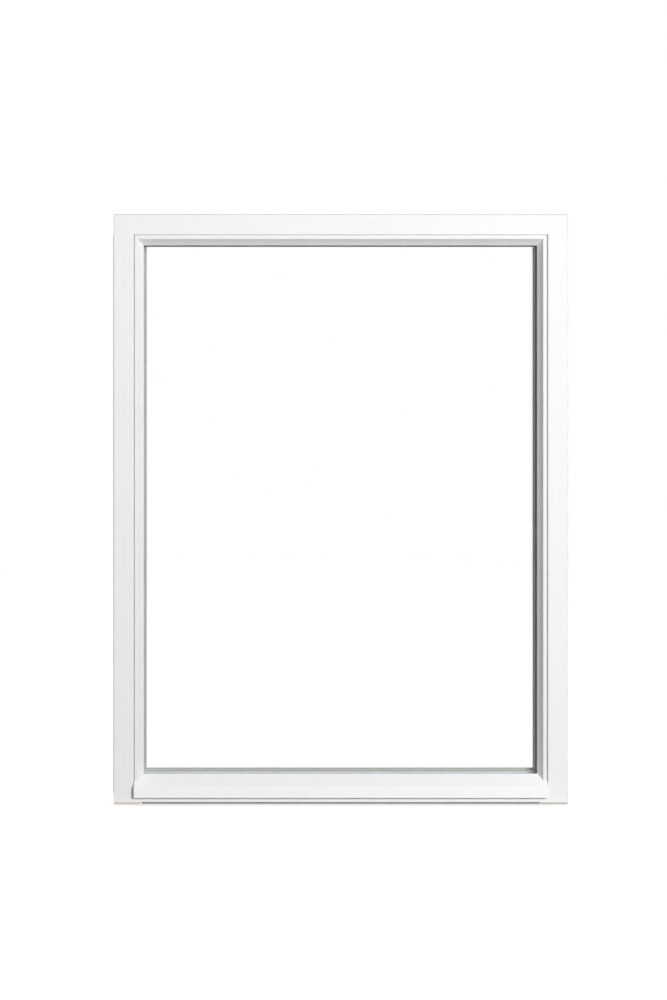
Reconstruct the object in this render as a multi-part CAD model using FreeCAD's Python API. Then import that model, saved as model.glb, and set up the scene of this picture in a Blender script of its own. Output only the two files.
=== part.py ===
import FreeCAD, Part
import math
import os

# Overall frame, in millimetres
frame_width = 980.0
frame_height = 1270.0
frame_depth = 105.0
nose_reach = 11.0         # the drip bead stands this far in front of the frame
rail_inset = 1.2          # head and sill end this far inside the jambs' sides

# Timber section, across from the outer edge and back from the outside face
face = 44.0               # plain face beside the bead
bed = 50.0                # floor of the glazing rebate
lip = 65.0                # upstand behind the glass
reveal = 46.0             # plain thickness towards the room
bead_seat = 14.5          # depth of the step that stops the bead
lip_thick = 6.0
reveal_start = 78.0
arris = 2.0
outer_arris = 3.0

# Groove for a lining board in the outer edge, near the room face
lining_near = 94.0
lining_far = 102.0
lining_deep = 8.0

# Sill heights
nose_high = 22.0
weather_high = 26.0
sill_bed = 44.0
sill_lip = 57.5
sill_reveal = 38.5
flashing_high = 4.0
flashing_deep = 12.0
flashing_half = 431.0

# Glazing bead
bead_set_back = 1.0
bead_flat_end = 53.5
bead_edge = 64.5
head_flat_end = 53.0      # the head's bead is a little deeper than the side ones
head_bead_edge = 66.3
shadow_gap = 2.0
shadow_deep = 7.0
bead_slope_end = 14.0
mitre_gap = 0.12

# Drip bead
drip_wall = 1.8
drip_top = 60.0
drip_top_back = 13.5
drip_arris_high = 38.4
drip_arris = 4.0
drip_foot = 17.8
drip_half = 443.0
cap_end = 445.8
foot_gap = 0.3

# Glazing unit
pane = 4.0
cavity = 10.0
edge_clear = 5.0
head_clear = 5.7
block_high = 6.0
seal_wide = 5.0
spacer_high = 8.0
gasket_thick = 3.0
block_long = 100.0
block_off = 305.0

# Screw holes through the jambs
hole_radius = 4.0
hole_back = 86.0
hole_from_end = 200.0

half = frame_width / 2
glass_front = bead_seat + gasket_thick
glass_back = glass_front + 3 * pane + 2 * cavity
lip_front = glass_back + gasket_thick
lip_back = lip_front + lip_thick
rail_half = half - rail_inset
front = (frame_depth - nose_reach) / 2
along_x = FreeCAD.Vector(1, 0, 0)
along_y = FreeCAD.Vector(0, 1, 0)
along_z = FreeCAD.Vector(0, 0, 1)


# A section is given as across and back; each side of the window places it
def at_head(across, back, along):
    return FreeCAD.Vector(along, back - front, frame_height - across)


def at_sill(across, back, along):
    return FreeCAD.Vector(along, back - front, across)


def at_left(across, back, along):
    return FreeCAD.Vector(across - half, back - front, along)


def at_right(across, back, along):
    return FreeCAD.Vector(half - across, back - front, along)


# Closed outline with each corner rounded by its own radius
def outline(corners, place, along):
    spots = [place(across, back, along) for across, back, radius in corners]
    edges = []
    last = None
    first = None
    for i, (across, back, radius) in enumerate(corners):
        here = spots[i]
        before = (spots[i - 1] - here).normalize()
        after = (spots[(i + 1) % len(spots)] - here).normalize()
        enter = here
        leave = here
        if radius > 0:
            turn = before.getAngle(after) / 2
            reach = radius / math.tan(turn)
            enter = here + before * reach
            leave = here + after * reach
            inward = (before + after).normalize()
            middle = here + inward * (radius / math.sin(turn) - radius)
        if last is None:
            first = enter
        else:
            edges.append(Part.makeLine(last, enter))
        if radius > 0:
            edges.append(Part.Arc(enter, middle, leave).toShape())
        last = leave
    edges.append(Part.makeLine(last, first))
    return Part.Face(Part.Wire(edges))


def bar(corners, place, start, end):
    way = along_z
    if place in (at_head, at_sill):
        way = along_x
    return outline(corners, place, start).extrude(way * (end - start))


def save(shape, name):
    shape.exportStep("parts/" + name + ".step")


os.makedirs("parts", exist_ok=True)

# Head and jambs share one section
timber = [
    (0, 0, outer_arris),
    (face, 0, arris),
    (face, bead_seat, 0),
    (bed, bead_seat, 0.5),
    (bed, lip_front, 0),
    (lip, lip_front, 0.8),
    (lip, lip_back, 3.0),
    (reveal, reveal_start, 3.0),
    (reveal, frame_depth, 2.5),
    (0, frame_depth, arris),
    (0, lining_far, 0),
    (lining_deep, lining_far, 0),
    (lining_deep, lining_near, 0),
    (0, lining_near, 0),
]
sill_section = [
    (0, 0, 1.0),
    (nose_high, 0, 2.0),
    (weather_high, bead_seat, 0),
    (sill_bed, bead_seat, 0.5),
    (sill_bed, lip_front, 0),
    (sill_lip, lip_front, 0.8),
    (sill_lip, lip_back, 3.0),
    (sill_reveal, reveal_start, 3.0),
    (sill_reveal, frame_depth, 2.5),
    (0, frame_depth, arris),
]
head = bar(timber, at_head, -rail_half, rail_half)
sill = bar(sill_section, at_sill, -rail_half, rail_half)

# The flashing rebate under the front edge stops short of the sill's ends
flashing = Part.makeBox(
    2 * flashing_half,
    flashing_deep,
    flashing_high,
    FreeCAD.Vector(-flashing_half, -front, 0),
)
sill = sill.cut(flashing)
save(head, "frame_head")
save(sill, "frame_sill")

# Jambs are coped over the full rail sections and bored for the frame screws
head_cope = bar(timber, at_head, -half - 5, half + 5)
sill_cope = bar(sill_section, at_sill, -half - 5, half + 5)
for place, side in ((at_left, "left"), (at_right, "right")):
    jamb = bar(timber, place, nose_high, frame_height - face)
    jamb = jamb.cut(head_cope)
    jamb = jamb.cut(sill_cope)
    for high in (hole_from_end, frame_height - hole_from_end):
        start = FreeCAD.Vector(-half - 5, hole_back - front, high)
        if side == "right":
            start.x = half - reveal - 5
        hole = Part.makeCylinder(hole_radius, reveal + 10, start, along_x)
        jamb = jamb.cut(hole)
    save(jamb, "frame_jamb_" + side)

# Timber beads: flat front, slope to the glass, groove beside the frame
bead_out = face + shadow_gap
clear_half = half - face


def bead_section(flat_end, edge):
    return [
        (bead_out, bead_set_back, 0.8),
        (flat_end, bead_set_back, 1.2),
        (edge, bead_slope_end, 0.4),
        (edge, bead_seat, 0),
        (face, bead_seat, 0),
        (face, shadow_deep, 0),
        (bead_out, shadow_deep, 0),
    ]


# Wedge on one side of the mitre at an upper corner
def wedge(points):
    spots = [FreeCAD.Vector(x, -front - 1, z) for x, z in points]
    spots.append(spots[0])
    return Part.Face(Part.makePolygon(spots)).extrude(along_y * (bead_seat + 2))


# The mitre runs from the beads' outer corner to where their glass edges meet
reach = 2 * face
top = frame_height
steep = (head_bead_edge - bead_out) / (bead_edge - bead_out)
peak = top - bead_out + bead_out * steep
valley = peak - reach * steep
bead_head = bar(bead_section(head_flat_end, head_bead_edge), at_head, -clear_half, clear_half)
for sign in (-1, 1):
    corner = sign * (half - mitre_gap)
    turned = corner - sign * reach
    below = wedge([(corner, peak), (corner, valley), (turned, valley)])
    bead_head = bead_head.cut(below)
save(bead_head, "bead_head")

# The drip bead's sloping front, also the line the side beads are cut to
fall = (drip_top - drip_arris_high) / (drip_top_back + nose_reach)


def slope_high(back):
    return drip_top + (back - drip_top_back) * fall


under_slope = [
    (0, -nose_reach, 0),
    (slope_high(-nose_reach) + foot_gap, -nose_reach, 0),
    (drip_top + foot_gap, drip_top_back, 0),
    (drip_top + foot_gap, bead_seat + 1, 0),
    (0, bead_seat + 1, 0),
]
foot_cut = bar(under_slope, at_sill, -half, half)
for place, side, sign in ((at_left, "left", -1), (at_right, "right", 1)):
    upright = bar(bead_section(bead_flat_end, bead_edge), place, nose_high, top - face)
    corner = sign * (half + mitre_gap)
    turned = corner - sign * reach
    above = wedge([(corner, peak), (turned, peak), (turned, valley)])
    upright = upright.cut(above)
    upright = upright.cut(foot_cut)
    save(upright, "bead_" + side)

# Thin-walled drip bead: slope, nose with drip lip, back leg, foot on the sill
weather_fall = (weather_high - nose_high) / bead_seat
wall_rise = drip_wall * math.hypot(1, fall)
foot_rise = drip_wall * math.hypot(1, weather_fall)
nose_in = drip_wall - nose_reach
leg_in = bead_seat - drip_wall
foot_end = 1.5
drip_lip = 0.8


def weather(back):
    return nose_high + back * weather_fall


drip = [
    (drip_top, bead_seat, 0.5),
    (drip_top, drip_top_back, 0.5),
    (drip_arris_high, -nose_reach, drip_arris),
    (drip_foot, -nose_reach, 0.6),
    (drip_foot, nose_in + drip_lip, 0.6),
    (drip_foot + 2, nose_in + drip_lip, 0),
    (drip_foot + 2, nose_in, 0),
    (slope_high(nose_in) - wall_rise, nose_in, 1.2),
    (slope_high(leg_in) - wall_rise, leg_in, 0),
    (weather(leg_in) + foot_rise, leg_in, 0.8),
    (weather(foot_end) + foot_rise, foot_end, 0),
    (weather(foot_end), foot_end, 0),
    (weather_high, bead_seat, 0),
]
save(bar(drip, at_sill, -drip_half, drip_half), "drip_bead")

# End caps close the drip bead against the jambs
cap_clear = -0.4
cap = [
    (drip_top, bead_seat, 0.5),
    (drip_top, drip_top_back, 0.5),
    (drip_arris_high, -nose_reach, drip_arris),
    (drip_foot, -nose_reach, 0.6),
    (drip_foot, cap_clear, 0.6),
    (weather(cap_clear), cap_clear, 0),
    (weather_high, bead_seat, 0),
]
save(bar(cap, at_sill, -cap_end, -drip_half), "drip_bead_end_cap_left")
save(bar(cap, at_sill, drip_half, cap_end), "drip_bead_end_cap_right")

# Glazing unit: three panes, two spacers and two edge seals
glass_half = half - bed - edge_clear
glass_low = sill_bed + block_high
glass_high = frame_height - bed - head_clear


def slab(inset, back, thick, radius):
    low = glass_low + inset
    high = glass_high - inset
    side = glass_half - inset
    spots = [(low, -side), (high, -side), (high, side), (low, side)]
    corners = [(up, along, radius) for up, along in spots]

    def flat(up, along, back_now):
        return FreeCAD.Vector(along, back_now - front, up)

    return outline(corners, flat, back).extrude(along_y * thick)


names = ("outer", "middle", "inner")
for i, name in enumerate(names):
    back = glass_front + i * (pane + cavity)
    save(slab(0, back, pane, 0), "glass_" + name)
for i, name in enumerate(("outer", "inner")):
    back = glass_front + pane + i * (pane + cavity)
    seal_body = slab(0, back, cavity, 0)
    spacer_body = slab(seal_wide, back, cavity, 4.0)
    hollow = slab(seal_wide + spacer_high, back, cavity, 1.0)
    save(seal_body.cut(spacer_body), "edge_seal_" + name)
    save(spacer_body.cut(hollow), "spacer_" + name)

# Gasket strips in front of the glass and behind it
rows = (
    ("outer_gasket_", bead_seat, bead_edge - 1.0, drip_top - 1.2),
    ("inner_gasket_", glass_back, lip - 1.0, sill_lip - 1.0),
)
gasket_out = bed + edge_clear + 1.5
gasket_low = glass_low + 1.5
for name, back, edge, low_edge in rows:
    strip = [
        (gasket_out, back, 0),
        (edge, back, 0.6),
        (edge, back + gasket_thick, 0.6),
        (gasket_out, back + gasket_thick, 0),
    ]
    low_strip = [
        (gasket_low, back, 0),
        (low_edge, back, 0.6),
        (low_edge, back + gasket_thick, 0.6),
        (gasket_low, back + gasket_thick, 0),
    ]
    reach_x = half - gasket_out
    save(bar(strip, at_head, -reach_x, reach_x), name + "head")
    save(bar(low_strip, at_sill, -reach_x, reach_x), name + "sill")
    save(bar(strip, at_left, low_edge, frame_height - edge), name + "left")
    save(bar(strip, at_right, low_edge, frame_height - edge), name + "right")

# Setting blocks carry the unit on the sill
for sign, side in ((-1, "left"), (1, "right")):
    corner = FreeCAD.Vector(sign * block_off - block_long / 2, glass_front - front, sill_bed)
    block = Part.makeBox(block_long, glass_back - glass_front, block_high, corner)
    save(block, "setting_block_" + side)

# Seal strip in the flashing rebate, its bulb just behind the sill's front edge
strip_half = flashing_half - 2
strip = [
    (0, 1.5, 0.6),
    (2.2, 0.8, 1.2),
    (flashing_high, 2.6, 0.4),
    (flashing_high, 10.5, 0.4),
    (0, 10.5, 0.6),
]
save(bar(strip, at_sill, -strip_half, strip_half), "sill_seal_strip")
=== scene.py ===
import math

import bmesh
import bpy
import numpy as np
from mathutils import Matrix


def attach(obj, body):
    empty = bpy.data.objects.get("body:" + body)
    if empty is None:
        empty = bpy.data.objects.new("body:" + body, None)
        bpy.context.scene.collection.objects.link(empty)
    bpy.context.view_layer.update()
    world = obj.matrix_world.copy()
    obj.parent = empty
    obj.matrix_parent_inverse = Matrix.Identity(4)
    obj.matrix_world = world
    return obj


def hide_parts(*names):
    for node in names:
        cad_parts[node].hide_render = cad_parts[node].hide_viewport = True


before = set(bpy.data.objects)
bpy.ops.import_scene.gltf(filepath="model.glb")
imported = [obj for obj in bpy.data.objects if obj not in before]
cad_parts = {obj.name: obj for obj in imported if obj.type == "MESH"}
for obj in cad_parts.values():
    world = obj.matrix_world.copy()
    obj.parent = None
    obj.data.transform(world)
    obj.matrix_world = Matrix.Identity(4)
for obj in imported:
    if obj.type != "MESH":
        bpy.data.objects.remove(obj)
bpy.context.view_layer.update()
print("frame loaded,", len(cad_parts), "solids")

mm = 0.001
weld = 2e-6                                    # points closer than this become one
sharpAngle = math.radians(32)                  # edges that turn further stay sharp
window = {"wide": 980 * mm, "high": 1270 * mm, "front": -47 * mm}      # front is the outside face's y
halfWide = window["wide"] / 2


# shader sockets as values: an expression on wires adds its Math nodes
class Wire:
    def __init__(self, tree, socket=None):
        self.tree, self.socket = tree, socket

    # any node, by type; settings come first, then the values or links of its sockets
    def node(self, kind, settings=None, sockets=None, output=0):
        made = self.tree.nodes.new("ShaderNode" + kind)
        for key, value in (settings or {}).items():
            setattr(made, key, value)
        for key, value in (sockets or {}).items():
            if isinstance(value, Wire):
                self.tree.links.new(value.socket, made.inputs[key])
            else:
                made.inputs[key].default_value = value
        return Wire(self.tree, made.outputs[output] if made.outputs else None)

    def also(self, output):                    # another output of the same node
        return Wire(self.tree, self.socket.node.outputs[output])

    def sum(self, operation, first, second=0.0, clamp=False):
        return self.node("Math", {"operation": operation, "use_clamp": clamp}, {0: first, 1: second})

    def __add__(self, other):
        return self.sum("ADD", self, other)

    def __radd__(self, other):
        return self.sum("ADD", other, self)

    def __sub__(self, other):
        return self.sum("SUBTRACT", self, other)

    def __rsub__(self, other):
        return self.sum("SUBTRACT", other, self)

    def __mul__(self, other):
        return self.sum("MULTIPLY", self, other)

    def __rmul__(self, other):
        return self.sum("MULTIPLY", other, self)

    def __truediv__(self, other):
        return self.sum("DIVIDE", self, other)

    def __lt__(self, other):
        return self.sum("LESS_THAN", self, other)

    def __abs__(self):
        return self.sum("ABSOLUTE", self)

    def __mod__(self, other):
        return self.sum("FLOORED_MODULO", self, other)

    def clamped(self):
        return self.sum("ADD", self, 0.0, True)

    def highest(self, other):
        return self.sum("MAXIMUM", self, other)


def blank(name):
    material = bpy.data.materials.new(name)
    material.use_nodes = True
    material.node_tree.nodes.clear()
    return material, Wire(material.node_tree)


def tint(wire, factor, first, second):         # a colour between two, by a mask
    rgba = [colour if isinstance(colour, Wire) else (*colour, 1) for colour in (first, second)]
    return wire.node("Mix", {"data_type": "RGBA"}, {0: factor, 6: rgba[0], 7: rgba[1]}, 2)


def noise(wire, stretch, detail=2.0, rough=0.5, coords="Object"):
    # noise in cycles a metre along x, y and z, turned into 0 to 1
    where = wire.node("TexCoord", output=coords)
    where = wire.node("Mapping", {}, {"Vector": where, "Scale": stretch})
    return wire.node("TexNoise", {}, {"Vector": where, "Scale": 1.0, "Detail": detail, "Roughness": rough})


def principled(material, wire, sockets):
    surface = wire.node("BsdfPrincipled", {}, sockets)
    wire.node("OutputMaterial", {}, {"Surface": surface})
    return material


# meshes
def roundCorners(corners, closed=True, steps=6):
    # a corner (back, across, radius) becomes an arc that touches both its sides: the centre is
    # corner + bisector * radius / sin(half angle), and the arc turns from one side to the other;
    # an open line's first and last corner only give the direction of its ends
    table = np.array(corners, float) * mm
    here, radius = table[:, :2], table[:, 2]
    before, after = np.roll(here, 1, 0) - here, np.roll(here, -1, 0) - here
    before /= np.linalg.norm(before, axis=1, keepdims=True)
    after /= np.linalg.norm(after, axis=1, keepdims=True)
    half = np.arccos(np.clip((before * after).sum(1), -1, 1))[:, None] / 2
    bisector = before + after
    bisector /= np.linalg.norm(bisector, axis=1, keepdims=True)
    spokes = [side / np.tan(half) - bisector / np.sin(half) for side in (before, after)]
    turn, share = np.pi - 2 * half, np.linspace(0, 1, steps + 1)[None, :]
    fan = (np.sin((1 - share) * turn)[..., None] * spokes[0][:, None]
           + np.sin(share * turn)[..., None] * spokes[1][:, None]) / np.sin(turn)[..., None]
    centre = here + bisector * radius[:, None] / np.sin(half)
    line = centre[:, None] + radius[:, None, None] * fan
    line = line.reshape(-1, 2) if closed else line[1:-1].reshape(-1, 2)
    fresh = np.linalg.norm(np.diff(line, axis=0), axis=1) > 1e-7
    return line[np.concatenate(([True], fresh))]


def spot(side, along, back, across):
    # along a member, back from the outside face and across from the window's edge, as x, y, z
    along, back, across = np.broadcast_arrays(along, back, across)
    x, z = {"head": (along, window["high"] - across), "sill": (along, across),
            "left": (across - halfWide, along), "right": (halfWide - across, along)}[side]
    return np.stack((x, window["front"] + back, z), -1)


def gridPiece(name, points, material, nodes, uv=None, caps=True, smooth=True):
    # rows of points joined by quads, each row closed on itself; the first and last row are capped,
    # or the rows run round to the first again
    rows, cols = points.shape[:2]
    grid = np.concatenate((points, points[:, :1]), 1)
    if not caps:
        grid = np.concatenate((grid, grid[:1]), 0)
    index = np.arange(grid.shape[0] * grid.shape[1]).reshape(grid.shape[:2])
    quads = np.stack((index[:-1, :-1], index[:-1, 1:], index[1:, 1:], index[1:, :-1]), -1)
    faces = quads.reshape(-1, 4).tolist()
    if caps:
        faces += [index[0, :-1][::-1].tolist(), index[-1, :-1].tolist()]
    mesh = bpy.data.meshes.new(name)
    mesh.from_pydata(grid.reshape(-1, 3).tolist(), [], faces)
    if uv is not None:
        corner = np.empty(len(mesh.loops), np.int32)
        mesh.loops.foreach_get("vertex_index", corner)
        mesh.uv_layers.new(name="along").data.foreach_set("uv", uv.reshape(-1, 2)[corner].ravel())
    return finishPiece(name, mesh, material, nodes, smooth)


def finishPiece(name, mesh, material, nodes, smooth=True):
    work = bmesh.new()
    work.from_mesh(mesh)
    bmesh.ops.remove_doubles(work, verts=work.verts, dist=weld)
    bmesh.ops.dissolve_degenerate(work, edges=work.edges, dist=weld)
    bmesh.ops.recalc_face_normals(work, faces=work.faces)
    work.to_mesh(mesh)
    work.free()
    mesh.materials.clear()
    mesh.materials.append(material)
    piece = bpy.data.objects.new(name, mesh)
    bpy.context.collection.objects.link(piece)
    if smooth:                                 # arrises shade round, flats stay flat
        mesh.polygons.foreach_set("use_smooth", np.ones(len(mesh.polygons), bool))
        mesh.set_sharp_from_angle(angle=sharpAngle)
        flats = piece.modifiers.new("flats", "WEIGHTED_NORMAL")
        flats.keep_sharp = True
    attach(piece, "root")
    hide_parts(*nodes)
    return piece


def edgeLine(corners):
    # a member's side as (back, across), its steps drawn out by a hair so that back always grows
    line = roundCorners(corners, False)
    line[:, 0] += 1e-9 * np.arange(len(line))
    return line


def meet(*lines):
    # the depths at which any of these sides bends, and each side's across there
    backs = np.unique(np.concatenate([line[:, 0] for line in lines]))
    return backs, [np.interp(backs, line[:, 0], line[:, 1]) for line in lines]


# paint on timber: faint grain drawn out along the member, brush marks, a fine skin
paintLook = {
    "white": (0.845, 0.845, 0.840), "shade": (0.815, 0.816, 0.812), "rough": 0.34,
    # this edge colour is painted shade along the front outer arrises, bluish; edge and edgeDeep give its
    # width and depth
    "edgeShade": (0.43, 0.43, 0.47), "edge": 1.8 * mm, "edgeDeep": 4 * mm, "railEnd": 488.8 * mm,
    # this whiter colour is painted light on the sill's low face, as if lit from the floor, up to its height
    "floorLit": (0.880, 0.876, 0.862), "floorLitHigh": 22 * mm,
    "pine": (0.66, 0.56, 0.46), "pineDark": (0.54, 0.44, 0.36), "pineGrey": (0.47, 0.44, 0.40),
    "bareBelow": 3.3 * mm, "bareFade": 0.5 * mm,
}


def paint(name, level):
    material, wire = blank(name)
    grain = noise(wire, (7, 340, 340) if level else (340, 340, 7), 4.0, 0.6)
    brush = noise(wire, (26, 1500, 1500) if level else (1500, 1500, 26), 2.0)
    skin = noise(wire, (900, 900, 900), 1.0)
    cloud = noise(wire, (5, 9, 5), 2.0)
    look = paintLook
    white = tint(wire, (cloud * 0.8 + grain * 0.5 - 0.25).clamped(), look["shade"], look["white"])
    rough = look["rough"] - 0.07 + cloud * 0.10 + brush * 0.06
    place = wire.node("SeparateXYZ", {}, {0: wire.node("TexCoord", output="Object")})
    side, high = abs(place), place.also(2)
    end = look["railEnd"] if level else halfWide
    rim = (side - (end - look["edge"])).highest(high - (window["high"] - look["edge"])) / look["edge"]
    ahead = place.also(1) < window["front"] + look["edgeDeep"]
    edgeShadeMask = (rim * 0.9 + grain * 0.2 - 0.1).clamped() * ahead                  # painted shade on the front outer arrises
    white = tint(wire, edgeShadeMask, white, look["edgeShade"])
    if level:                                  # painted light: the sill is whiter low down, as if lit from the floor; its lowest arris is bare pine
        white = tint(wire, ((look["floorLitHigh"] - high) / look["floorLitHigh"]).clamped(), white, look["floorLit"])
        bare = ((look["bareBelow"] - high) / look["bareFade"] + grain * 1.2 - 0.4).clamped()
        pine = tint(wire, (grain * 2.4 - 0.7).clamped(), look["pineDark"], look["pine"])
        pine = tint(wire, 1 - (place < 0.0), pine, look["pineGrey"])             # weathered on the right
        white = tint(wire, bare, white, pine)
        rough = rough + bare * 0.3
    relief = grain * 0.8 + brush * 0.25 + skin * 0.12
    bump = wire.node("Bump", {}, {"Strength": 0.35, "Distance": 0.12 * mm, "Height": relief})
    return principled(material, wire, {"Base Color": white, "Roughness": rough, "Normal": bump,
                                       "Specular IOR Level": 0.25})


# stove coating on the metal drip bead: cooler white with an even orange-peel skin
coatLook = {"white": (0.925, 0.927, 0.927), "shade": (0.905, 0.907, 0.909), "rough": 0.30}


def coating():
    material, wire = blank("coated_metal_white")
    peel = noise(wire, (420, 420, 420), 1.5)
    streak = noise(wire, (3, 160, 160), 2.0)
    white = tint(wire, (streak * 1.3 - 0.1).clamped(), coatLook["shade"], coatLook["white"])
    rough = coatLook["rough"] - 0.04 + streak * 0.08 + peel * 0.05
    bump = wire.node("Bump", {}, {"Strength": 0.25, "Distance": 0.06 * mm, "Height": peel})
    return principled(material, wire, {"Base Color": white, "Roughness": rough, "Normal": bump})


capLook = {"white": (0.905, 0.905, 0.898), "shade": (0.880, 0.880, 0.872), "rough": 0.36}


def moulded():
    material, wire = blank("white_plastic_moulded")
    spark = noise(wire, (1600, 1600, 1600), 1.0)
    cloud = noise(wire, (60, 60, 60), 2.0)
    white = tint(wire, (cloud * 1.2 - 0.1).clamped(), capLook["shade"], capLook["white"])
    bump = wire.node("Bump", {}, {"Strength": 0.3, "Distance": 0.04 * mm, "Height": spark})
    return principled(material, wire, {"Base Color": white, "Roughness": capLook["rough"] + spark * 0.1,
                                       "Normal": bump})


# float glass: all but colourless, a breath of green, and lamps shine through it unbent
glassLook = {"clear": (1.0, 1.0, 1.0), "green": (0.998, 1.0, 0.999), "through": (0.97, 0.98, 0.975, 1)}


def clearGlass():
    material, wire = blank("clear_glass")
    cloud = noise(wire, (4, 4, 4), 1.0)
    wave = noise(wire, (2.5, 2.5, 1.2), 1.0)
    colour = tint(wire, cloud, glassLook["clear"], glassLook["green"])
    bump = wire.node("Bump", {}, {"Strength": 0.05, "Distance": 0.4 * mm, "Height": wave})
    pane = wire.node("BsdfPrincipled", {}, {"Base Color": colour, "Roughness": 0.004, "IOR": 1.5,
                                            "Transmission Weight": 1.0, "Specular IOR Level": 0.15,
                                            "Normal": bump})
    through = wire.node("BsdfTransparent", {}, {"Color": glassLook["through"]})
    shadow = wire.node("LightPath", output="Is Shadow Ray")
    wire.node("OutputMaterial", {}, {"Surface": wire.node("MixShader", {}, {0: shadow, 1: pane, 2: through})})
    return material


# spacer bar: dull grey metal, two rows of breather holes and a seam along its face
spacerLook = {
    "grey": (0.56, 0.57, 0.58), "dark": (0.46, 0.465, 0.47), "olive": (0.56, 0.57, 0.50), "inner": -13.5 * mm,
    # the top bar's colour is painted shade, the bar facing down
    "top": 1190 * mm, "topShade": (0.40, 0.41, 0.40),
    # the low bar's colours are painted light, the bar facing up
    "low": 66 * mm, "upLit": (0.66, 0.66, 0.69), "oliveUpLit": (0.72, 0.74, 0.64),
    # this colour is a painted shadow at the lowest bar's right end, with its start and length
    "key": (0.20, 0.20, 0.19), "shadowFrom": 402 * mm, "shadowLong": 16 * mm,
    "pitch": 3.2 * mm, "hole": 0.5 * mm, "rows": 2.8 * mm, "middle": 5.0 * mm, "seam": 0.14 * mm,
    "pit": (0.05, 0.05, 0.05),
}


def spacerMetal():
    material, wire = blank("spacer_metal_dull")
    along = wire.node("SeparateXYZ", {}, {0: wire.node("TexCoord", output="UV")})
    deep = along.also(1)
    look = spacerLook
    pitch = abs(along % look["pitch"] - look["pitch"] / 2)
    row = abs(abs(deep - look["middle"]) - look["rows"])
    hole = (pitch * pitch + row * row) < look["hole"] ** 2
    seam = abs(deep - look["middle"]) < look["seam"]
    pit = hole.highest(seam)
    roll = noise(wire, (4, 900, 1), 2.0, coords="UV")
    cloud = noise(wire, (9, 9, 9), 2.0)
    grey = tint(wire, (roll * 0.8 + cloud * 0.6 - 0.2).clamped(), look["dark"], look["grey"])
    place = wire.node("SeparateXYZ", {}, {0: wire.node("TexCoord", output="Object")})
    inner, low = 1 - (place.also(1) < look["inner"]), place.also(2) < look["low"]
    grey = tint(wire, inner * 0.8, grey, look["olive"])
    # painted shade: the top bar, which faces down, is darker
    grey = tint(wire, (1 - (place.also(2) < look["top"])) * 0.9, grey, look["topShade"])
    upLit = tint(wire, inner, look["upLit"], look["oliveUpLit"])
    grey = tint(wire, low * (0.5 + cloud * 0.5), grey, upLit)                     # painted light on the lowest bar, which faces up, mottled
    key = ((place - look["shadowFrom"]) / look["shadowLong"]).clamped()
    grey = tint(wire, low * key * 0.9, grey, look["key"])                        # painted shadow at the lowest bar's right end, cast by the right bead
    grey = tint(wire, pit, grey, look["pit"])
    bump = wire.node("Bump", {}, {"Strength": 0.4, "Distance": 0.1 * mm, "Height": roll * 0.2 - pit})
    return principled(material, wire, {"Base Color": grey, "Roughness": 0.86 + roll * 0.12,
                                       "Specular IOR Level": 0.0, "Normal": bump})


def rubber(name, pale, deep, scale, rough):
    # soft parts: mottled between two tones with a fine matt grain
    material, wire = blank(name)
    cloud = noise(wire, (scale, scale, scale), 3.0)
    fine = noise(wire, (1800, 1800, 1800), 1.0)
    colour = tint(wire, (cloud * 1.6 - 0.3).clamped(), deep, pale)
    bump = wire.node("Bump", {}, {"Strength": 0.4, "Distance": 0.08 * mm, "Height": fine + cloud})
    return principled(material, wire, {"Base Color": colour, "Roughness": rough + fine * 0.12,
                                       "Normal": bump})


paintLevel, paintUpright = paint("white_paint_level", True), paint("white_paint_upright", False)
dripCoat, capPlastic, paneGlass, spacerGrey = coating(), moulded(), clearGlass(), spacerMetal()
gasketGrey = rubber("gasket_grey", (0.74, 0.74, 0.73), (0.66, 0.66, 0.65), 120, 0.55)
# the seal strip's dark grey stands in for the shade in the rebate under the sill
stripShade = rubber("seal_strip_dark_for_shade", (0.20, 0.20, 0.19), (0.15, 0.15, 0.145), 90, 0.60)
sealDark = rubber("edge_seal_dark", (0.055, 0.055, 0.058), (0.030, 0.030, 0.032), 70, 0.50)
blockGrey = rubber("block_plastic_grey", (0.30, 0.32, 0.34), (0.25, 0.27, 0.29), 160, 0.40)
print("finishes ready")

# timber frame: two sides of a member are lines of (back, across, radius), lofted through the depth
timber = {
    "outer": [(0, 20, 0), (0, 0, 3), (94, 0, 0), (94, 8, 0), (102, 8, 0), (102, 0, 0), (105, 0, 2),
              (105, 20, 0)],
    "inner": [(0, 20, 0), (0, 44, 2), (14.5, 44, 0), (14.5, 50, 0.5), (52.5, 50, 0), (52.5, 65, 0.8),
              (58.5, 65, 3), (78, 46, 3), (105, 46, 2.5), (105, 20, 0)],
    "face": 44, "headFace": 44.7, "scribe": 42.7 * mm, "railHalf": 488.8 * mm, "joint": 0.2 * mm,
    "holeBack": 86 * mm, "holeRadius": 4 * mm, "holeHeights": (200 * mm, 1070 * mm),
    "holeCentre": 23 * mm, "holeSteps": 40, "drillHalf": 40 * mm,
}
sill = {
    "under": [(0, 9, 0), (0, 0, 1), (105, 0, 2), (105, 18, 0)],
    "underCut": [(0, 9, 0), (0, 3.6, 0.3), (12, 3.6, 0), (12, 0, 0), (105, 0, 2), (105, 18, 0)],
    "top": [(0, 9, 0), (0, 22, 2), (14.5, 26, 0), (14.5, 44, 0.5), (52.5, 44, 0), (52.5, 57.5, 0.8),
            (58.5, 57.5, 3), (78, 38.5, 3), (105, 38.5, 2.5), (105, 18, 0)],
    "nose": 22 * mm, "cutHalf": 431 * mm,
}


def member(name, side, backs, along, across, material, nodes):
    # one ring of points for each depth: places along the member and across it, one column a corner
    return gridPiece(name, spot(side, along, backs[:, None], across), material, nodes)


def columns(*parts):
    return np.stack(np.broadcast_arrays(*parts), -1)


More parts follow.
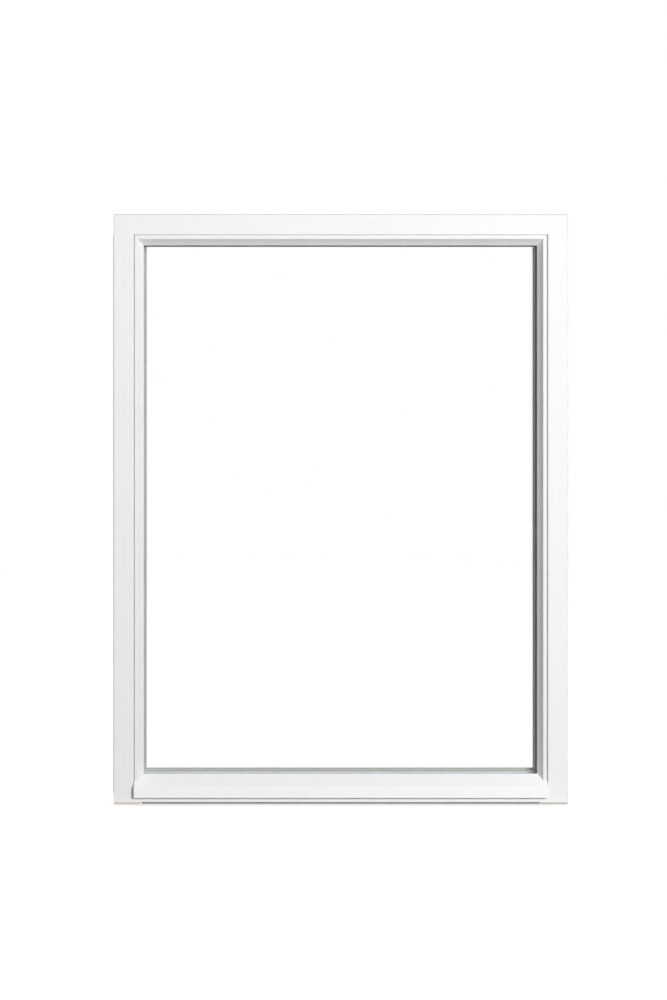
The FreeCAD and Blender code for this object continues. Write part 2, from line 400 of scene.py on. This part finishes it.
outerSide, innerSide, sillTop = edgeLine(timber["outer"]), edgeLine(timber["inner"]), edgeLine(sill["top"])
headSide = edgeLine([(back, timber["headFace"] if across == timber["face"] else across, radius)
                     for back, across, radius in timber["inner"]])
reach = timber["railHalf"]
backs, (outer, inner) = meet(outerSide, headSide)
member("window_head", "head", backs, columns(-reach, reach, reach, -reach + 0 * backs),
       columns(outer, outer, inner, inner), paintLevel, ["frame_head"])

backs, (under, cut, top) = meet(edgeLine(sill["under"]), edgeLine(sill["underCut"]), sillTop)
end = sill["cutHalf"]
member("window_sill", "sill", backs, columns(-reach, -end, -end, end, end, reach, reach, -reach + 0 * backs),
       columns(under, under, cut, cut, under, under, top, top), paintLevel, ["frame_sill"])


def boreHoles(piece):
    # each hole is a circle carried across the jamb, taken out with a Boolean
    turn = np.linspace(0, 2 * np.pi, timber["holeSteps"], endpoint=False)
    centre = np.sign(piece.data.vertices[0].co.x) * (halfWide - timber["holeCentre"])
    for high in timber["holeHeights"]:
        x = centre + np.array([-1, 1])[:, None] * timber["drillHalf"] + 0 * turn
        y = window["front"] + timber["holeBack"] + timber["holeRadius"] * np.cos(turn) + 0 * x
        z = high + timber["holeRadius"] * np.sin(turn) + 0 * x
        tool = bpy.data.meshes.new("drill")
        points = np.stack((x, y, z), -1)
        index = np.arange(2 * timber["holeSteps"]).reshape(2, -1)
        wall = np.stack((index[0], np.roll(index[0], -1), np.roll(index[1], -1), index[1]), -1)
        ends = [index[0][::-1].tolist(), index[1].tolist()]
        tool.from_pydata(points.reshape(-1, 3).tolist(), [], wall.tolist() + ends)
        work = bmesh.new()
        work.from_mesh(tool)
        bmesh.ops.recalc_face_normals(work, faces=work.faces)
        work.to_mesh(tool)
        work.free()
        drill = bpy.data.objects.new("drill", tool)
        bpy.context.collection.objects.link(drill)
        bore = piece.modifiers.new("bore", "BOOLEAN")
        bore.operation, bore.solver, bore.object = "DIFFERENCE", "EXACT", drill
        piece.modifiers.move(len(piece.modifiers) - 1, 0)
        bpy.context.view_layer.update()
        flats = piece.modifiers["flats"]
        flats.show_viewport = False
        bored = bpy.data.meshes.new_from_object(piece.evaluated_get(bpy.context.evaluated_depsgraph_get()))
        flats.show_viewport = True
        piece.modifiers.remove(bore)
        piece.data = bored
        bpy.data.objects.remove(drill)
    bored.name = piece.name
    bored.polygons.foreach_set("use_smooth", np.ones(len(bored.polygons), bool))
    bored.set_sharp_from_angle(angle=sharpAngle)


# jambs stand between the rails: their ends follow the head's inner side and the sill's top
backs, (outer, inner, headLine, sillLine) = meet(outerSide, innerSide, headSide, sillTop)
low = np.maximum(sillLine, sill["nose"]) + timber["joint"]
high = window["high"] - np.maximum(headLine, timber["scribe"]) - timber["joint"]
for side in ("left", "right"):
    jamb = member("window_jamb_" + side, side, backs, columns(low, high, high, low),
                  columns(outer, outer, inner, inner), paintUpright, ["frame_jamb_" + side])
    boreHoles(jamb)
print("timber frame done")

# glazing beads: mitred together at the top, feet scribed to the drip bead's slope
bead = {
    "outer": [(1, 50, 0), (1, 46, 0.8), (5, 46, 0), (5, 44, 0), (14.5, 44, 0), (14.5, 60, 0)],
    "headOuter": [(1, 50, 0), (1, 45.8, 0.8), (3, 45.8, 0), (3, 44.8, 0), (14.5, 44.8, 0), (14.5, 60, 0)],
    "inner": [(1, 48, 0), (1, 53.5, 1.2), (8, 58.65, 60), (14, 64.5, 0.4), (14.5, 64.5, 0), (14.5, 60, 0)],
    "headInner": [(1, 48, 0), (1, 53, 1.2), (7.5, 59.2, 50), (13.4, 65.9, 0), (13.4, 66.5, 0),
                  (14.5, 66.5, 0), (14.5, 60, 0)],
    "corner": 46 * mm, "edge": 64.5 * mm, "headEdge": 66.5 * mm, "under": 45 * mm, "mitre": 0.12 * mm,
    "foot": 0.3 * mm,
}
drip = {"top": 60, "topBack": 13.5, "arrisHigh": 38.4, "arris": 4, "reach": 11, "foot": 16.8, "wall": 1.8,
        "half": 443 * mm, "seat": 14.5, "seatHigh": 26, "noseHigh": 22}
weatherFall = (drip["seatHigh"] - drip["noseHigh"]) / drip["seat"]
fall = (drip["top"] - drip["arrisHigh"]) / (drip["topBack"] + drip["reach"])
steep = (bead["headEdge"] - bead["corner"]) / (bead["edge"] - bead["corner"])     # the mitre's own slope

backs, (outer, inner) = meet(edgeLine(bead["headOuter"]), edgeLine(bead["headInner"]))
ends = [halfWide - bead["corner"] - (line - bead["corner"]) / steep - bead["mitre"]
        for line in (outer, inner)]
member("bead_top", "head", backs, columns(-ends[0], ends[0], ends[1], -ends[1]),
       columns(outer, outer, inner, inner), paintLevel, ["bead_head"])

backs, (outer, inner) = meet(edgeLine(bead["outer"]), edgeLine(bead["inner"]))
foot = np.minimum(drip["top"] * mm + (backs - drip["topBack"] * mm) * fall, drip["top"] * mm) + bead["foot"]
tops = [np.minimum(window["high"] - bead["corner"] - (line - bead["corner"]) * steep - bead["mitre"],
                   window["high"] - bead["under"]) for line in (outer, inner)]
for side in ("left", "right"):
    member("bead_side_" + side, side, backs, columns(foot, tops[0], tops[1], foot),
           columns(outer, outer, inner, inner), paintUpright, ["bead_" + side])
print("beads done")


# drip bead: a thin closed section carried along x, with a moulded cap at each end
def slopeHigh(back):
    return drip["top"] + (back - drip["topBack"]) * fall


def weather(back):                             # the sill's own slope under it
    return drip["noseHigh"] + back * weatherFall


rise, rest = drip["wall"] * math.hypot(1, fall), drip["wall"] * math.hypot(1, weatherFall)
noseIn, legIn = drip["wall"] - drip["reach"], drip["seat"] - drip["wall"]
dripSection = [
    (drip["seat"], drip["top"], 0.5), (drip["topBack"], drip["top"], 0.5),
    (-drip["reach"], drip["arrisHigh"], drip["arris"]),
    (-drip["reach"], drip["foot"], 0.6), (noseIn + 0.8, drip["foot"], 0.6),
    (noseIn + 0.8, drip["foot"] + 2, 0), (noseIn, drip["foot"] + 2, 0),
    (noseIn, slopeHigh(noseIn) - rise, 1.2), (legIn, slopeHigh(legIn) - rise, 0),
    (legIn, weather(legIn) + rest, 0.8), (1.5, weather(1.5) + rest, 0), (1.5, weather(1.5), 0),
    (drip["seat"], drip["seatHigh"], 0),
]
cap = {"back": -0.4, "insets": (0, 0, 0.12, 0.45), "places": (443, 444.55, 444.88, 445.0)}
capSection = [
    (drip["seat"], drip["top"], 0.5), (drip["topBack"], drip["top"], 0.5),
    (-drip["reach"], drip["arrisHigh"], drip["arris"]),
    (-drip["reach"], drip["foot"], 0.6), (cap["back"], drip["foot"], 0.6),
    (cap["back"], weather(cap["back"]), 0), (drip["seat"], drip["seatHigh"], 0),
]
loop = roundCorners(dripSection)
ends = np.array([-1, 1])[:, None] * drip["half"]
gridPiece("drip_profile", spot("sill", ends, loop[:, 0], loop[:, 1]), dripCoat, ["drip_bead"])


def pulledIn(loop, by):
    # a closed line moved inwards along its own normals
    along = np.roll(loop, -1, 0) - np.roll(loop, 1, 0)
    along /= np.linalg.norm(along, axis=1, keepdims=True)
    turned = np.stack((along[:, 1], -along[:, 0]), 1)
    area = (loop[:, 0] * np.roll(loop[:, 1], -1) - np.roll(loop[:, 0], -1) * loop[:, 1]).sum()
    return loop - math.copysign(1, area) * turned * by


loop = roundCorners(capSection)
for side, sign in (("left", -1), ("right", 1)):
    insets, places = np.array(cap["insets"]) * mm, np.array(cap["places"]) * mm
    rings = np.stack([pulledIn(loop, by) for by in insets])
    gridPiece("drip_cap_" + side, spot("sill", sign * places[:, None], rings[..., 0], rings[..., 1]),
              capPlastic, ["drip_bead_end_cap_" + side])
print("drip bead done")

# glazing unit: panes with ground edges, bent spacer bars, seals and blocks
unit = {"half": 435 * mm, "low": 50 * mm, "high": 1214.3 * mm, "front": 17.5, "pane": 4, "gap": 10,
        "ground": 0.5, "sealWide": 5, "spacerHigh": 8, "bend": 14 * mm}


def rectangle(inset):
    # the unit's outline as four corners, moved in
    x, low, high = unit["half"] - inset, unit["low"] + inset, unit["high"] - inset
    return np.stack((np.stack((-x, x, x, -x), -1), np.stack((low, low, high, high), -1)), -1)


for number, place in enumerate(("outer", "middle", "inner")):
    start = unit["front"] + number * (unit["pane"] + unit["gap"])
    depth = (start + np.array([0, unit["ground"], unit["pane"] - unit["ground"], unit["pane"]])) * mm
    corners = rectangle(np.array([unit["ground"], 0, 0, unit["ground"]]) * mm)
    points = spot("sill", corners[..., 0], depth[:, None], corners[..., 1])
    gridPiece("pane_" + place, points, paneGlass, ["glass_" + place], smooth=False)


def bentRing(loop, bend, steps=8):
    # a section of (back, inset) carried round the unit's outline, its corners arcs about a point
    # that lies bend in from both edges; also the way gone along the bar
    angle = np.radians(np.array([180, 270, 0, 90]))[:, None] + np.linspace(0, np.pi / 2, steps + 1)[None, :]
    centre = rectangle(np.float64(bend)).reshape(4, 2)
    radius = bend - loop[:, 1]
    x = centre[:, 0][:, None, None] + radius * np.cos(angle)[..., None]
    z = centre[:, 1][:, None, None] + radius * np.sin(angle)[..., None]
    x, z = x.reshape(-1, len(loop)), z.reshape(-1, len(loop))
    gone = np.hypot(np.diff(x[:, 0], append=x[0, 0]), np.diff(z[:, 0], append=z[0, 0]))
    return spot("sill", x, loop[:, 0], z), np.concatenate(([0], np.cumsum(gone)))


for number, place in enumerate(("outer", "inner")):
    near = unit["front"] + unit["pane"] + number * (unit["pane"] + unit["gap"])
    far, seal, sight = near + unit["gap"], unit["sealWide"], unit["sealWide"] + unit["spacerHigh"]
    loop = roundCorners([(near, sight, 0.5), (far, sight, 0.5), (far, seal + 2.5, 0), (far - 2.5, seal, 0),
                         (near + 2.5, seal, 0), (near, seal + 2.5, 0)], steps=3)
    points, gone = bentRing(loop, unit["bend"])
    depth = np.append(loop[:, 0], loop[0, 0]) - near * mm
    uv = np.stack(np.broadcast_arrays(gone[:, None], depth[None, :]), -1)
    gridPiece("spacer_bar_" + place, points, spacerGrey, ["spacer_" + place], uv, caps=False)

# gasket strips joined into one ring each; the sill's run has its own place and width
gasket = {"outer": (14.5, 17.5, 56.5, 63.5, 51.5, 58.8), "inner": (49.5, 52.5, 56.5, 64, 51.5, 56.5),
          "round": 0.6}
for place in ("outer", "inner"):
    near, far, start, stop, lowStart, lowStop = gasket[place]
    loop = roundCorners([(near, start, 0.3), (near, stop, gasket["round"]), (far, stop, gasket["round"]),
                         (far, start, 0.3)], steps=4)
    side = loop[:, 1]
    low = (lowStart + (side / mm - start) * (lowStop - lowStart) / (stop - start)) * mm
    x = np.stack((side - halfWide, halfWide - side, halfWide - side, side - halfWide))
    z = np.stack((low, low, window["high"] - side, window["high"] - side))
    gridPiece("gasket_ring_" + place, spot("sill", x, loop[:, 0], z), gasketGrey,
              [place + "_gasket_" + run for run in ("head", "left", "right", "sill")], caps=False)


# seal strip in the rebate under the sill, dark so that it stands in for the shade in the rebate: a
# round-nosed section carried along x
strip = {"half": 429 * mm,
         "section": [(0.9, 0, 0.3), (0.8, 2.2, 1.0), (2.4, 3.6, 0.4), (10.5, 3.6, 0.4), (10.5, 0, 0.6)]}
loop = roundCorners(strip["section"])
ends = np.array([-1, 1])[:, None] * strip["half"]
gridPiece("sill_strip", spot("sill", ends, loop[:, 0], loop[:, 1]), stripShade,
          ["sill_seal_strip"])


def dress(node, material):
    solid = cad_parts[node]
    if not solid.material_slots:
        solid.data.materials.append(material)
    for held in solid.material_slots:
        held.link = "OBJECT"
        held.material = material


for place in ("outer", "inner"):
    dress("edge_seal_" + place, sealDark)
for side in ("left", "right"):
    dress("setting_block_" + side, blockGrey)
print("glazing unit done")

# stage: white floor and sky for what is seen, plain soft light for what is lit
stage = {"floor": 30.0, "glow": 0.98, "shadow": 0.22, "near": 1.1, "far": 2.6, "sky": 0.02,
         "contact": 18 * mm, "dull": (0.46, 0.46, 0.46), "pale": (0.50, 0.50, 0.50)}


def seenRays(wire):                            # straight, mirrored or through the glass, not soft light
    path = wire.node("LightPath", output="Is Camera Ray")
    seen = path.highest(path.also("Is Glossy Ray")).highest(path.also("Is Transmission Ray"))
    return seen * (path.also("Diffuse Depth") < 0.5)


floorPaint, wire = blank("white_floor")
speck = noise(wire, (40, 40, 40), 2.0)
white = tint(wire, speck, stage["dull"], stage["pale"])
matt = wire.node("BsdfDiffuse", {}, {"Color": white})
faint = wire.node("BsdfDiffuse", {}, {"Color": (stage["shadow"],) * 3 + (1,)})
near = wire.node("AmbientOcclusion", {"samples": 12}, {"Distance": stage["contact"]}, "AO")
ahead = wire.node("SeparateXYZ", {}, {0: wire.node("TexCoord", output="Object")}, 1) < window["front"]
close = (1 - near) * ahead                     # the contact shadow lies in front of the sill
glow = wire.node("Emission", {}, {"Color": tint(wire, close, (1, 1, 1), (0, 0, 0)),
                                  "Strength": stage["glow"]})
plain = wire.node("Emission", {}, {"Color": (1, 1, 1, 1), "Strength": 1.0})
away = wire.node("VectorMath", {"operation": "LENGTH"}, {0: wire.node("TexCoord", output="Object")}, "Value")
away = ((away - stage["near"]) / (stage["far"] - stage["near"])).clamped()
seen = wire.node("MixShader", {}, {0: away, 1: wire.node("AddShader", {}, {0: glow, 1: faint}), 2: plain})
shown = wire.node("MixShader", {}, {0: seenRays(wire), 1: matt, 2: seen})
wire.node("OutputMaterial", {}, {"Surface": shown})
half = stage["floor"]
floorMesh = bpy.data.meshes.new("floor")
floorMesh.from_pydata([(-half, -half, 0), (half, -half, 0), (half, half, 0), (-half, half, 0)], [],
                      [(0, 1, 2, 3)])
floorMesh.materials.append(floorPaint)
floor = bpy.data.objects.new("floor", floorMesh)
bpy.context.collection.objects.link(floor)

world = bpy.data.worlds.new("studio")
bpy.context.scene.world = world
world.use_nodes = True
world.node_tree.nodes.clear()
wire = Wire(world.node_tree)
sky = wire.node("Background", {}, {"Color": (1, 1, 1, 1), "Strength": stage["sky"]})
white = wire.node("Background", {}, {"Color": (1, 1, 1, 1), "Strength": 1.0})
wire.node("OutputWorld", {}, {"Surface": wire.node("MixShader", {}, {0: seenRays(wire), 1: sky, 2: white})})


def lamp(name, turn, lift, distance, power, wide, high, aim):
    # a softbox at a turn to the right and a lift above level, looking at its aim
    turn, lift = math.radians(turn), math.radians(lift)
    away = np.array([math.sin(turn) * math.cos(lift), -math.cos(turn) * math.cos(lift), math.sin(lift)])
    data = bpy.data.lights.new(name, "AREA")
    data.shape, data.size, data.size_y, data.energy = "RECTANGLE", wide, high, power
    box = bpy.data.objects.new(name, data)
    box.location = np.array(aim) + away * distance
    box.rotation_euler = (math.pi / 2 - lift, 0, turn)
    box.visible_camera = box.visible_transmission = box.visible_glossy = False
    bpy.context.collection.objects.link(box)


lamps = {
    "key_softbox": {"turn": 27.5, "lift": 25, "distance": 8.2, "power": 639, "wide": 1.64, "high": 1.31,
                    "aim": (0, 0, 0.65)},
    "right_fill": {"turn": 42, "lift": 3, "distance": 3.4, "power": 7.5, "wide": 0.8, "high": 0.8,
                   "aim": (0.3, 0, 0.35)},
    "low_fill": {"turn": -38, "lift": 2, "distance": 7.0, "power": 48, "wide": 1.5, "high": 1.5,
                 "aim": (0, 0, 0.40)},
    "room_fill": {"turn": 188, "lift": 8, "distance": 6.0, "power": 220, "wide": 2.4, "high": 2.4,
                  "aim": (0, 0, 0.65)},
}
for name, values in lamps.items():
    lamp(name, **values)

# camera: level, with the lens shifted down and right as in the photograph
view = {"place": (-0.165, -2.797, 1.086), "lens": 45.97, "shift": (0.0694, -0.2004), "sensor": 36, "far": 200}
lens = bpy.data.cameras.new("camera")
lens.lens, lens.sensor_width, lens.clip_end = view["lens"], view["sensor"], view["far"]
lens.shift_x, lens.shift_y = view["shift"]
camera = bpy.data.objects.new("camera", lens)
camera.location, camera.rotation_euler = view["place"], (math.pi / 2, 0, 0)
bpy.context.collection.objects.link(camera)
bpy.context.scene.camera = camera
bpy.context.scene.view_settings.view_transform = "Standard"
print("stage, lamps and camera done")
